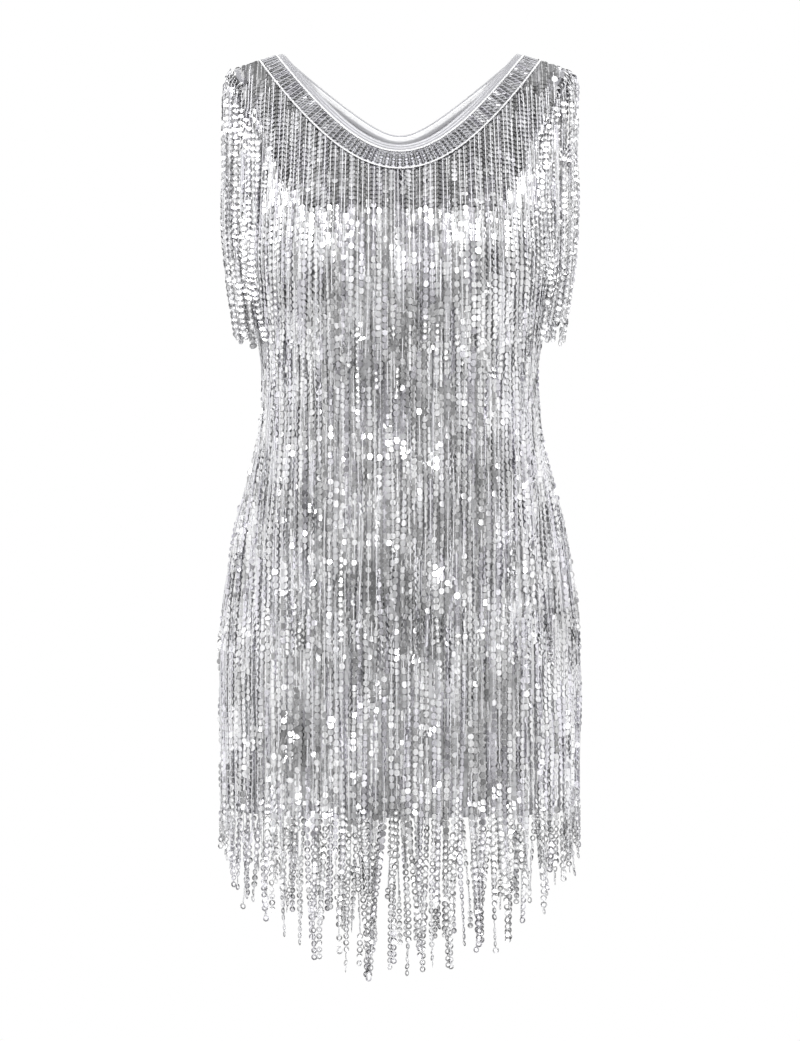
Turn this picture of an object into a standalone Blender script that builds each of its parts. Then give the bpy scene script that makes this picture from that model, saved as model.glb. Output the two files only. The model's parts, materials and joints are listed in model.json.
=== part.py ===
"""A sleeveless dance dress hung with strings of sequins, as it stands when worn, with no wearer.

The dress is a hollow sheath of stretch cloth on a general figure. Its front and back meet on the plane
y = 0, at the side seams and at the shoulder seams. The neckline has a folded binding and a band of
flattened strings, each armhole has a folded binding, and narrow tapes carry the loose strings at the
shoulders and along the hem.

Metres, +Z up, the front faces -Y and +X is to the right of someone who looks at the front. The origin is
where the wearer's shoulders hold the dress: midway between the shoulder seams, at their middles' height.

A place on the figure is given by its drop, how far it lies below the shoulder line, and by its angle round
the figure: 0 at the middle of the front or back, a quarter turn at the side seams, and positive towards +X.
"""

import math

import bmesh
import bpy
import numpy as np
from mathutils import Vector

MM = 0.001
QUARTER = math.pi / 2
FRONT, BACK = -1, 1  # the sign of y on each half

# Cloth.
WALL = 2.5 * MM  # base cloth with the strings sewn flat to it
GAP = 0.3 * MM  # between pieces at a seam
LIFT = 0.6 * MM  # under what lies on a panel
INNER_LIFT = 2.2 * MM  # between a panel's inner face and a binding's inner flap
BINDING_CLOTH = 0.8 * MM
BAND_CLOTH = 1.0 * MM
TAPE_CLOTH = 1.8 * MM

# Neckline and shoulders.
NECK_HALF_WIDTH = 0.111
NECK_POINT_HEIGHT = 0.006
SHOULDER_SLOPE = 0.33
SHOULDER_TIP_X = 0.157
LEVELS_FLAT_BY = 0.15  # the drop from which levels no longer slope with the shoulders
NECK_BOTTOM = {FRONT: -0.0895, BACK: -0.0620}  # heights
NECK_ROUND = {FRONT: 0.70, BACK: 0.24}  # 0 is a sharp V, 1 a round scoop
BINDING_OUTSIDE = 5.5 * MM
BINDING_INSIDE = 8.0 * MM
BAND_START = BINDING_OUTSIDE + 2 * GAP
BAND_WIDTH = 16.0 * MM

# Armholes.
UNDERARM_DROP = 0.185
ARMHOLE_CUT_IN = {FRONT: 0.137, BACK: 0.11}  # share of the half width
ARMHOLE_FLAP = 5.0 * MM

# The figure's sections: half width at the side seams, and depth of the front and the back from their plane.
FIGURE_COLUMNS = ("drop", "half_width", "front_depth", "back_depth")
FIGURE = (
    (0.000, 0.1900, 0.000, 0.000),
    (0.010, 0.1875, 0.024, 0.022),
    (0.040, 0.1780, 0.048, 0.045),
    (0.090, 0.1630, 0.073, 0.070),
    (0.120, 0.1570, 0.085, 0.082),
    (0.150, 0.1535, 0.098, 0.091),
    (0.185, 0.1520, 0.111, 0.096),
    (0.215, 0.1455, 0.116, 0.095),
    (0.272, 0.1295, 0.108, 0.089),
    (0.301, 0.1272, 0.102, 0.085),
    (0.343, 0.1303, 0.098, 0.085),
    (0.372, 0.1350, 0.098, 0.089),
    (0.400, 0.1425, 0.099, 0.095),
    (0.443, 0.1540, 0.102, 0.106),
    (0.485, 0.1605, 0.104, 0.114),
    (0.542, 0.1670, 0.106, 0.119),
    (0.580, 0.1680, 0.107, 0.119),
    (0.650, 0.1672, 0.107, 0.116),
    (0.712, 0.1660, 0.106, 0.112),
)
HEM_DROP = FIGURE[-1][0]
SQUARENESS = 2.3  # 2 is an ellipse
CUP = {"x": 0.070, "drop": 0.205, "rise": 0.011, "half_width": 0.050, "half_height": 0.055}

# Fringe. A string of sequins is a flat three-sided strand.
STRAND_WIDTH, STRAND_DEPTH = 4.2 * MM, 1.9 * MM
ROOT_SHARE = 0.5  # a strand's size inside its tape, as a share of its full size
LENGTH_SPREAD = 0.006
STRAND_SPACE = 4.0 * MM  # between the cloth and a strand's middle
HEM_TAPE_TOP, HEM_TAPE_BOTTOM = HEM_DROP - 0.013, HEM_DROP - 0.003
HEM_STRANDS = 64  # on each half
HEM_TAPE_ANGLE = math.radians(89.4)
HEM_ENDS = {"middle": 0.858, "side": 0.728}  # drops at which the hem fringe ends
HEM_ARC_POWER = 1.2  # 1 is a V, 2 is round
SHOULDER_STRANDS = 20  # on each side
SHOULDER_TAPE = (2.8 * MM, 6.3 * MM)  # its edges, from the armhole's edge into the opening
SHOULDER_REACH = math.radians(72)  # how far the tape goes round the armhole on each side of the shoulder tip
SHOULDER_END = -0.266  # height
HANG = {"x": 0.118, "out": 0.049, "front": 0.067, "back": 0.065}  # their oval from above, and its middle
HANG_TURN = math.radians(76)
HANG_GATHER = 0.006  # how much nearer to the figure their ends are
SEED = 7

# Mesh density.
HALF_COLUMNS = 13
ARMHOLE_STEPS, SPLIT_STEP = 14, 6  # rows from underarm to shoulder, and the row that the neckline starts from
SKIRT_DROPS = (0.712, 0.645, 0.58, 0.52, 0.465, 0.42, 0.38, 0.343, 0.308, 0.276, 0.246, 0.215)
NECK_STATIONS = 16  # on each side of the middle: every second one is a row of the panel
TAPE_STATIONS = 32

STYLES = {  # name: (colour, roughness, metallic)
    "sequined_cloth": ((0.50, 0.50, 0.51), 0.35, 0.85),
    "flattened_strings": ((0.42, 0.42, 0.43), 0.40, 0.80),
    "binding": ((0.80, 0.80, 0.80), 0.55, 0.10),
    "sequin_strings": ((0.62, 0.62, 0.63), 0.28, 0.90),
}


def clear_scene():
    for old in list(bpy.data.objects):
        bpy.data.objects.remove(old, do_unlink=True)


def spline(column, at):
    """A column of FIGURE at a drop, on a smooth curve through its rows. The rows are spaced by the root of
    their drop, in which the round top of a shoulder is as smooth as the rest."""
    across = np.sqrt([row[0] for row in FIGURE])
    values = np.array([row[FIGURE_COLUMNS.index(column)] for row in FIGURE])
    slopes = np.gradient(values, across)
    x = min(math.sqrt(max(at, 0.0)), across[-1])
    i = min(max(int(np.searchsorted(across, x)) - 1, 0), len(across) - 2)
    width = across[i + 1] - across[i]
    t = (x - across[i]) / width
    start = values[i] * (1 + 2 * t) * (1 - t) ** 2 + slopes[i] * width * t * (1 - t) ** 2
    return start + values[i + 1] * t * t * (3 - 2 * t) - slopes[i + 1] * width * t * t * (1 - t)


def shoulder_height(x):
    return NECK_POINT_HEIGHT - SHOULDER_SLOPE * (abs(x) - NECK_HALF_WIDTH)


def drop_at(x, z):
    """The drop of a point, from its height. Levels slope with the shoulders at the top and flatten lower down."""
    top = shoulder_height(x)
    sloped = (top - z) / (1 + top / LEVELS_FLAT_BY)
    return max(sloped, 0.0) if sloped < LEVELS_FLAT_BY else -z


def angle_at(x, drop):
    share = min(abs(x) / spline("half_width", drop), 1.0)
    return math.copysign(math.asin(share ** (SQUARENESS / 2)), x)


def bare_point(angle, drop, half):
    """The point of the dress's outer face at an angle and a drop."""
    power = 2 / SQUARENESS
    x = math.copysign(spline("half_width", drop) * abs(math.sin(angle)) ** power, angle)
    depth = spline("front_depth" if half == FRONT else "back_depth", drop)
    if half == FRONT:
        across = (abs(x) - CUP["x"]) / CUP["half_width"]
        down = (drop - CUP["drop"]) / CUP["half_height"]
        depth += CUP["rise"] * math.exp(-across * across - down * down)
    y = half * depth * max(math.cos(angle), 0.0) ** power
    z = -drop + shoulder_height(x) * max(0.0, 1 - drop / LEVELS_FLAT_BY)
    return Vector((x, y, z))


def outward(angle, drop, half):
    """The unit normal of the outer face, away from the figure."""
    turn = 0.004
    root = max(math.sqrt(drop), 0.004)
    inside = min(max(angle, -QUARTER + 2 * turn), QUARTER - 2 * turn)
    along = bare_point(inside + turn, root**2, half) - bare_point(inside - turn, root**2, half)
    down = bare_point(inside, (root + 0.003) ** 2, half) - bare_point(inside, (root - 0.003) ** 2, half)
    normal = along.cross(down) * half
    if abs(angle) > QUARTER - 2 * turn:  # on the side seam the two halves share one normal
        normal.y = 0.0
    return normal.normalized()


def on_figure(x, z, half, out=0.0):
    drop = drop_at(x, z)
    angle = angle_at(x, drop)
    return bare_point(angle, drop, half) + outward(angle, drop, half) * out


# Edges of the cloth.


def neck_height(x, half):
    """The neckline: one arm of a hyperbola, which is straight up to the shoulders and round at the middle."""
    share, bend = min(abs(x) / NECK_HALF_WIDTH, 1.0), NECK_ROUND[half]
    rise = (math.hypot(share, bend) - bend) / (math.hypot(1.0, bend) - bend)
    return NECK_BOTTOM[half] + (NECK_POINT_HEIGHT - NECK_BOTTOM[half]) * rise


def neck_x(share):
    """Where the neckline's rows lie: 0 is the middle and 1 the shoulder seam, close together near the seam."""
    return NECK_HALF_WIDTH * (1 - (1 - share) ** 1.5)


def neck_place(x, width, half):
    """(x, z) of the place that lies the given width outside the neckline at x. At the shoulder seam it is on
    the seam."""
    slope = (neck_height(abs(x) + 1e-4, half) - neck_height(abs(x) - 1e-4, half)) / 2e-4
    square = Vector((slope, -1.0)).normalized()
    seam = Vector((1.0, -SHOULDER_SLOPE)).normalized()
    share = abs(x) / NECK_HALF_WIDTH
    away = square.lerp(seam, share**6).normalized() * width
    return math.copysign(abs(x) + away.x, x), neck_height(x, half) + away.y


def armhole_place(turn, half):
    """(angle, drop) on the armhole's edge, from 0 at the underarm to half a turn at the shoulder tip."""
    drop = UNDERARM_DROP * (1 + math.cos(turn)) / 2
    tip_share = SHOULDER_TIP_X / FIGURE[0][1]
    share = 1 - (1 - tip_share) * (1 - math.cos(turn)) / 2 - ARMHOLE_CUT_IN[half] * math.sin(turn) ** 2
    return math.asin(min(share, 1.0) ** (SQUARENESS / 2)), drop


# Making objects.


def add_object(name, mesh, style):
    obj = bpy.data.objects.new(name, mesh)
    bpy.data.collections["dance_dress"].objects.link(obj)
    mesh.materials.append(bpy.data.materials[style])
    mesh.shade_smooth()
    mesh.set_sharp_from_angle(angle=math.radians(35))
    return obj


def add_helper(name, mesh):
    obj = bpy.data.objects.new(name, mesh)
    bpy.data.collections["cutters"].objects.link(obj)
    obj.hide_render = True
    obj.display_type = "WIRE"
    return obj


def make_materials():
    for name, (colour, roughness, metallic) in STYLES.items():
        material = bpy.data.materials.new(name)
        material.use_nodes = True
        shader = material.node_tree.nodes["Principled BSDF"]
        shader.inputs["Base Color"].default_value = (*colour, 1.0)
        shader.inputs["Roughness"].default_value = roughness
        shader.inputs["Metallic"].default_value = metallic


def mesh_of(name, grids, cyclic=False):
    """A mesh of joined grids of points, each a list of rows. Points that coincide are made one. Faces look
    towards whoever sees each row run to the right and the next row above it."""
    bm = bmesh.new()
    for grid in grids:
        rows = [[bm.verts.new(point) for point in row] for row in grid]
        if cyclic:
            rows.append(rows[0])
        for low, high in zip(rows, rows[1:]):
            for i in range(len(low) - 1):
                bm.faces.new((low[i], low[i + 1], high[i + 1], high[i]))
    bmesh.ops.remove_doubles(bm, verts=bm.verts, dist=1e-6)
    bmesh.ops.dissolve_degenerate(bm, edges=bm.edges, dist=1e-6)
    mesh = bpy.data.meshes.new(name)
    bm.to_mesh(mesh)
    bm.free()
    return mesh


def thicken(obj, thickness, offset=0.0):
    shell = obj.modifiers.new("Cloth", "SOLIDIFY")
    shell.thickness = thickness
    shell.offset = offset
    return shell


# The sheath.


def panel_rows(half):
    """Rows of points on the +X side of the front or back, from the hem to the shoulder seam."""
    rows = []
    for drop in SKIRT_DROPS:
        rows.append([bare_point(QUARTER * i / HALF_COLUMNS, drop, half) for i in range(HALF_COLUMNS + 1)])
    neck_drop = drop_at(0.0, NECK_BOTTOM[half])
    for step in range(ARMHOLE_STEPS + 1):
        outer_angle, outer_drop = armhole_place(math.pi * step / ARMHOLE_STEPS, half)
        if step <= SPLIT_STEP:
            inner_angle = 0.0
            inner_drop = UNDERARM_DROP + (neck_drop - UNDERARM_DROP) * step / SPLIT_STEP
        else:
            x = neck_x((step - SPLIT_STEP) / (ARMHOLE_STEPS - SPLIT_STEP))
            inner_drop = drop_at(x, neck_height(x, half))
            inner_angle = angle_at(x, inner_drop)
        row = []
        for i in range(HALF_COLUMNS + 1):
            share = i / HALF_COLUMNS
            angle = inner_angle + (outer_angle - inner_angle) * share
            row.append(bare_point(angle, inner_drop + (outer_drop - inner_drop) * share, half))
        rows.append(row)
    return rows if half == FRONT else [row[::-1] for row in rows]


def half_space(half):
    """A box that holds all that lies on one side of the seams' plane, clear of it by half a gap."""
    size = 2.0
    bm = bmesh.new()
    bmesh.ops.create_cube(bm, size=size)
    bmesh.ops.translate(bm, verts=bm.verts, vec=(0.0, half * (size / 2 + GAP / 2), 0.0))
    mesh = bpy.data.meshes.new("half_space")
    bm.to_mesh(mesh)
    bm.free()
    return mesh


def make_sheath():
    """The front and the back: one mirrored shell, parted on the seams' plane."""
    shell = mesh_of("sheath", [panel_rows(FRONT), panel_rows(BACK)])
    for half, name in ((FRONT, "front_body"), (BACK, "back_body")):
        panel = add_object(name, shell.copy(), "sequined_cloth")
        mirror = panel.modifiers.new("Sides", "MIRROR")
        mirror.merge_threshold = 1e-5
        thicken(panel, WALL, offset=-1.0)
        part = panel.modifiers.new("Seams", "BOOLEAN")
        part.operation = "INTERSECT"
        part.object = add_helper("half_of_" + name, half_space(half))


# Bands and bindings.


def neck_stations():
    """x of the neckline's stations, from one shoulder seam to the other."""
    side = [neck_x(i / NECK_STATIONS) for i in range(NECK_STATIONS + 1)]
    return [-x for x in reversed(side[1:])] + side


def clear_of_seam(point, half):
    point.y = half * max(half * point.y, 1.2 * GAP)
    return point


def neck_strip(half, profile):
    """Rows of points along the neckline. The profile is a list of (width outside the neckline, height off the
    face)."""
    rows = []
    for x in neck_stations():
        row = []
        for width, out in profile:
            row.append(clear_of_seam(on_figure(*neck_place(x, width, half), half, out), half))
        rows.append(row)
    return rows


def folded_profile(outside, inside):
    """A binding's section: along the outer face, over the edge and down the inner face."""
    off = LIFT + BINDING_CLOTH / 2
    over, under = -1.6 * MM, -WALL - INNER_LIFT - BINDING_CLOTH / 2
    return (outside, off), (over, off), (over, under), (inside, under)


def make_neck(half, side):
    band_off = LIFT + BAND_CLOTH / 2
    widths = (BAND_START, BAND_START + BAND_WIDTH / 2, BAND_START + BAND_WIDTH)
    rows = neck_strip(half, [(width, band_off) for width in widths])
    thicken(add_object(side + "_neck_band", mesh_of("band", [rows]), "flattened_strings"), BAND_CLOTH)
    rows = neck_strip(half, folded_profile(BINDING_OUTSIDE, BINDING_INSIDE))
    thicken(add_object(side + "_neck_binding", mesh_of("binding", [rows]), "binding"), BINDING_CLOTH)


def armhole_station(turn, half):
    """(point, away, out) on the armhole's edge: the point, the unit way from the opening onto the cloth, and
    the normal."""
    angle, drop = armhole_place(turn, half)
    step = 0.02
    before = bare_point(*armhole_place(max(turn - step, 0.0), half), half)
    after = bare_point(*armhole_place(min(turn + step, math.pi), half), half)
    out = outward(angle, drop, half)
    if drop < 1e-6:  # at the shoulder tip the two halves share one normal
        out.y = 0.0
        out.normalize()
    away = (after - before).cross(out).normalized() * half
    return bare_point(angle, drop, half), away, out


def armhole_loop():
    """(turn, half) of the stations round an armhole, from the underarm up the front and down the back."""
    turns = [math.pi * i / ARMHOLE_STEPS for i in range(ARMHOLE_STEPS + 1)]
    return [(turn, FRONT) for turn in turns] + [(turn, BACK) for turn in reversed(turns[1:-1])]


def mirrored(point, side):
    return Vector((point.x * side, point.y, point.z))


def make_armhole_binding(name, side):
    rows = []
    for turn, half in armhole_loop():
        edge, away, out = armhole_station(turn, half)
        profile = folded_profile(ARMHOLE_FLAP, ARMHOLE_FLAP)
        rows.append([mirrored(edge + away * width + out * off, side) for width, off in profile])
    thicken(add_object(name, mesh_of("binding", [rows], cyclic=True), "binding"), BINDING_CLOTH)


# Fringe.


def add_strand(bm, path, across):
    """A closed three-sided strand along a path that starts inside its tape, its flat side along across."""
    rings = []
    for i, point in enumerate(path):
        size = ROOT_SHARE if i < 2 else 1.0
        along = (path[min(i + 1, len(path) - 1)] - path[max(i - 1, 0)]).normalized()
        deep = along.cross(across).normalized()
        ring = []
        for wide, thick in ((-0.5, -0.35), (0.5, -0.35), (0.0, 0.65)):
            offset = across * wide * STRAND_WIDTH + deep * thick * STRAND_DEPTH
            ring.append(bm.verts.new(point + offset * size))
        rings.append(ring)
    for low, high in zip(rings, rings[1:]):
        for i in range(3):
            bm.faces.new((low[i - 1], low[i], high[i], high[i - 1]))
    bm.faces.new(reversed(rings[0]))
    bm.faces.new(rings[-1])


def add_fringe(name, tape_rows, strands):
    """A tape with its strands fused to it. The strands are a list of (path, way across)."""
    bm = bmesh.new()
    for path, across in strands:
        add_strand(bm, path, across)
    mesh = bpy.data.meshes.new(name + "_strands")
    bm.to_mesh(mesh)
    bm.free()
    tape = add_object(name, mesh_of("tape", [tape_rows]), "sequin_strings")
    thicken(tape, TAPE_CLOTH)
    union = tape.modifiers.new("Strands", "BOOLEAN")
    union.operation = "UNION"
    union.object = add_helper(name + "_strands", mesh)


def even_angles(count, drop, half, limit):
    """Angles that space count places evenly along the cloth's girth, the same distance from both ends."""
    fine = np.linspace(-limit, limit, 400)
    points = [bare_point(angle, drop, half) for angle in fine]
    steps = [0.0] + [(b - a).length for a, b in zip(points, points[1:])]
    along = np.cumsum(steps)
    wanted = (np.arange(count) + 0.5) / count * along[-1]
    return np.interp(wanted, along, fine)


def make_hem_fringe(name, half, random):
    off = LIFT + TAPE_CLOTH / 2
    rows = []
    for angle in np.linspace(-HEM_TAPE_ANGLE, HEM_TAPE_ANGLE, TAPE_STATIONS + 1):
        rows.append([bare_point(angle, drop, half) + outward(angle, drop, half) * off
                     for drop in (HEM_TAPE_TOP, HEM_TAPE_BOTTOM)])
    strands = []
    for angle in even_angles(HEM_STRANDS, HEM_DROP, half, HEM_TAPE_ANGLE):
        out = outward(angle, HEM_DROP, half)
        out.z = 0.0
        out.normalize()
        across = Vector((-out.y, out.x, 0.0))
        root = bare_point(angle, HEM_TAPE_BOTTOM - 0.004, half) + out * off
        to_side = (abs(angle) / QUARTER) ** HEM_ARC_POWER
        end = HEM_ENDS["middle"] + (HEM_ENDS["side"] - HEM_ENDS["middle"]) * to_side
        length = end + random.uniform(-LENGTH_SPREAD, LENGTH_SPREAD) + root.z
        sway = random.uniform(-1.0, 1.0, 2) * MM
        path = [root, root + Vector((0.0, 0.0, -0.006))]
        for share in (0.5, 1.0):
            path.append(root + (across * sway[0] + out * sway[1] - Vector((0.0, 0.0, length))) * share)
        strands.append((path, across))
    add_fringe(name, rows, strands)


def clear_of_cloth(point, half):
    """The point, moved out from the front or back of the dress if there is cloth too near to it."""
    drop = drop_at(point.x, point.z)
    angle = angle_at(point.x, drop)
    over_cloth = abs(point.x) < spline("half_width", drop)
    if over_cloth and drop < UNDERARM_DROP:
        turn = math.acos(2 * drop / UNDERARM_DROP - 1)
        over_cloth = abs(angle) < armhole_place(turn, half)[0] + 0.15
    if over_cloth:
        out = outward(angle, drop, half)
        space = (point.y - bare_point(angle, drop, half).y) * out.y
        point += Vector((out.x, out.y, 0.0)) * max(STRAND_SPACE - space, 0.0)
    return point


def make_shoulder_fringe(name, side, random):
    rows = []
    for place in np.linspace(-SHOULDER_REACH, SHOULDER_REACH, TAPE_STATIONS + 1):
        edge, away, _ = armhole_station(math.pi - abs(place), FRONT if place < 0 else BACK)
        rows.append([mirrored(edge - away * width, side) for width in SHOULDER_TAPE])
    strands = []
    for share in (np.arange(SHOULDER_STRANDS) + 0.5) / SHOULDER_STRANDS * 2 - 1:
        half = FRONT if share < 0 else BACK
        edge, away, _ = armhole_station(math.pi - abs(share) * SHOULDER_REACH, half)
        root = edge - away * sum(SHOULDER_TAPE) / 2
        turn = share * HANG_TURN
        deep = HANG["front" if half == FRONT else "back"]
        low = Vector((HANG["x"] + HANG["out"] * math.cos(turn), deep * math.sin(turn), 0.0))
        level = Vector((math.cos(turn) / HANG["out"], math.sin(turn) / deep, 0.0)).normalized()
        across = Vector((-level.y, level.x, 0.0))
        end = SHOULDER_END + random.uniform(-LENGTH_SPREAD, LENGTH_SPREAD)
        lean = random.uniform(-1.0, 1.0, 2) * MM
        path = [root, edge - away * (SHOULDER_TAPE[1] + 2.5 * MM)]
        for z, nearness in ((root.z - 0.018, 0.8), (-0.105, 0.9), (-0.155, 1.0), (-0.205, 1.0), (end, 1.0)):
            gather = HANG_GATHER if z == end else 0.0
            point = path[1].lerp(low, nearness) + (level * (lean[0] - gather) + across * lean[1]) * nearness
            path.append(clear_of_cloth(Vector((point.x, point.y, z)), half))
        strands.append(([mirrored(point, side) for point in path], mirrored(across, side) * side))
    add_fringe(name, rows, strands)


def main():
    clear_scene()
    for name in ("dance_dress", "cutters"):
        bpy.context.scene.collection.children.link(bpy.data.collections.new(name))
    make_materials()
    make_sheath()
    for half, side in ((FRONT, "front"), (BACK, "back")):
        make_neck(half, side)
    random = np.random.default_rng(SEED)
    make_hem_fringe("hem_fringe_front", FRONT, random)
    make_hem_fringe("hem_fringe_back", BACK, random)
    for side, word in ((-1, "left"), (1, "right")):
        make_armhole_binding("armhole_binding_" + word, side)
        make_shoulder_fringe("shoulder_fringe_" + word, side, np.random.default_rng(SEED + 1))


main()
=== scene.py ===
"""Looks of a sleeveless dance dress covered in strings of silver sequins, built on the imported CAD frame.

Metres, +Z up, the front faces -Y. The dress hangs as it stands when worn, with no wearer. A place on it is
given by its drop below the shoulder line and by its angle, 0 at the middle of the front or back and a quarter
turn at the side seams. A bed of strings is sewn flat on the cloth. Over it strings of sequins hang in three
tiers, each from its own sewing line, and the lowest runs on past the hem of the cloth as loose fringe.
"""

import math

import json

import bpy
import numpy as np
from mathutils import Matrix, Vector

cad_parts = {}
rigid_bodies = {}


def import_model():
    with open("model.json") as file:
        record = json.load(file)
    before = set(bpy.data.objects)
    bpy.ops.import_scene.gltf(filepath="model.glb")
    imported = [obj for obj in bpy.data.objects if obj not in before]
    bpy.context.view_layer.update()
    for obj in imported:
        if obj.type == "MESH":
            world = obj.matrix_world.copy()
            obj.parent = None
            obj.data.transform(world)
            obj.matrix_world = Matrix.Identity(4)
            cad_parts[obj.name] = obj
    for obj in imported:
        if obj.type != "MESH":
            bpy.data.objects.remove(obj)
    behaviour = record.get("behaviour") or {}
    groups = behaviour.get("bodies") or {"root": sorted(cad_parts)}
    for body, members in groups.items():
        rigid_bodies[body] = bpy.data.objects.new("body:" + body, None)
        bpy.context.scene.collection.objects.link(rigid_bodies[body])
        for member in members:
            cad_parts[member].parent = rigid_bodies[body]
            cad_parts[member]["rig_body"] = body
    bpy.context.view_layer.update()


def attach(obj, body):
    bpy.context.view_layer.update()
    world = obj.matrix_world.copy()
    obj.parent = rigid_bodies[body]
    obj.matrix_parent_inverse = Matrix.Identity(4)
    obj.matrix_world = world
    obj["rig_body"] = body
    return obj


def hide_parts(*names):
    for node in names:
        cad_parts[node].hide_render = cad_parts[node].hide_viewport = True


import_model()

MM = 0.001
QUARTER = math.pi / 2
FRONT, BACK = -1, 1  # the sign of y on each half
SIDES = {FRONT: "front", BACK: "back"}

# The figure, as in the CAD.
FIGURE_COLUMNS = ("drop", "half_width", "front_depth", "back_depth")
FIGURE = np.array((
    (0.000, 0.1900, 0.000, 0.000),
    (0.010, 0.1875, 0.024, 0.022),
    (0.040, 0.1780, 0.048, 0.045),
    (0.090, 0.1630, 0.073, 0.070),
    (0.120, 0.1570, 0.085, 0.082),
    (0.150, 0.1535, 0.098, 0.091),
    (0.185, 0.1520, 0.111, 0.096),
    (0.215, 0.1455, 0.116, 0.095),
    (0.272, 0.1295, 0.108, 0.089),
    (0.301, 0.1272, 0.102, 0.085),
    (0.343, 0.1303, 0.098, 0.085),
    (0.372, 0.1350, 0.098, 0.089),
    (0.400, 0.1425, 0.099, 0.095),
    (0.443, 0.1540, 0.102, 0.106),
    (0.485, 0.1605, 0.104, 0.114),
    (0.542, 0.1670, 0.106, 0.119),
    (0.580, 0.1680, 0.107, 0.119),
    (0.650, 0.1672, 0.107, 0.116),
    (0.712, 0.1660, 0.106, 0.112),
))
HEM_DROP = FIGURE[-1, 0]
HEM_EDGE = HEM_DROP - 8 * MM  # the cloth's own edge, above the lower end of the solid's tape
SQUARENESS = 2.3
CUP = {"x": 0.070, "drop": 0.205, "rise": 0.011, "half_width": 0.050, "half_height": 0.055}
NECK_HALF_WIDTH = 0.111
NECK_POINT_HEIGHT = 0.006
SHOULDER_SLOPE = 0.33
SHOULDER_TIP_X = 0.157
LEVELS_FLAT_BY = 0.15
NECK_BOTTOM = {FRONT: -0.0895, BACK: -0.0620}
NECK_ROUND = {FRONT: 0.70, BACK: 0.24}
BAND_START, BAND_WIDTH = 6.1 * MM, 16.0 * MM
BAND_END = BAND_START + BAND_WIDTH
UNDERARM_DROP = 0.185
ARMHOLE_CUT_IN = {FRONT: 0.137, BACK: 0.11}
HEM_ENDS = {"middle": 0.858, "side": 0.728}
HEM_ARC_POWER = 1.2
SHOULDER_REACH = math.radians(72)
SHOULDER_END = -0.266
HANG = {"x": 0.118, "out": 0.049, FRONT: 0.067, BACK: 0.065}
HANG_TURN = math.radians(76)
BUST_DROP = 0.185
OVER_ARM = math.radians(74)  # strings this near to the middle hang from the shoulder over the armhole's edge
LEAN_IN = 0.30  # share of x that strings lose for each metre above the bust, as they lean in to the neck

# Cloth, strings and sequins.
CLOTH_THICKNESS = 0.7 * MM
CLOTH_DEPTH = 0.9 * MM  # below the solid's outer face
SEQUIN_RADIUS = 3.0 * MM
CLOSE_PITCH = 4.4 * MM  # sequins that overlap like shingles, on the chest and in the bed
LOOSE_PITCH = 6.1 * MM  # sequins edge to edge
LANE_SHARE = 0.383  # half width of a shingled sequin's middle lane, as a share of its radius
WING_ANGLE = math.radians(17)
CUP_SHARE = 0.47  # radius of a cupped sequin's flat middle, as a share of its radius
CUP_ANGLE = math.radians(13)
CUP_SIDES = 8
THREAD_RADIUS = 0.48 * MM
THREAD_LIFT = 0.62 * MM
CHAIN_RADIUS = 0.38 * MM
CHAIN_STITCH = {"length": 3.4 * MM, "wave": 0.55 * MM, "rise": 0.25 * MM}

# Soft troughs in the cloth: x and z of the top end, x and z of the bottom end, half width and depth.
FOLDS = {
    FRONT: (
        (-0.092, -0.555, -0.084, -0.700, 0.017, 0.0040),
        (0.088, -0.560, 0.094, -0.705, 0.016, 0.0036),
        (-0.014, -0.350, 0.026, -0.318, 0.014, 0.0026),
        (0.030, -0.380, 0.022, -0.520, 0.018, 0.0022),
        (-0.055, -0.300, -0.048, -0.420, 0.013, 0.0020),
        (0.128, -0.450, 0.140, -0.600, 0.014, 0.0028),
    ),
    BACK: (
        (0.000, -0.300, 0.004, -0.430, 0.020, 0.0034),
        (-0.085, -0.600, -0.092, -0.705, 0.018, 0.0032),
        (0.076, -0.590, 0.083, -0.700, 0.015, 0.0026),
        (-0.060, -0.160, -0.048, -0.270, 0.014, 0.0022),
        (0.110, -0.420, 0.124, -0.560, 0.016, 0.0028),
    ),
}

# Above this edge the strings face up and mirror the ceiling: its height at the middle, its rise to the sides,
# and where that rise begins and how far it goes on.
CHEST_EDGE = {"middle": -0.1510, "rise": 0.095, "rises_from": 0.085, "rises_for": 0.050}
BUST_BAND = {"width": 0.042, "fade": 0.030}  # the bust's bright band, below that edge

# How far the strings face upward, in degrees: on all of the dress, more at the bust and chest, and in clumps.
FACES_UP = {"all": 2, "bust": 2, "chest": 28, "clump": 19}

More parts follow.
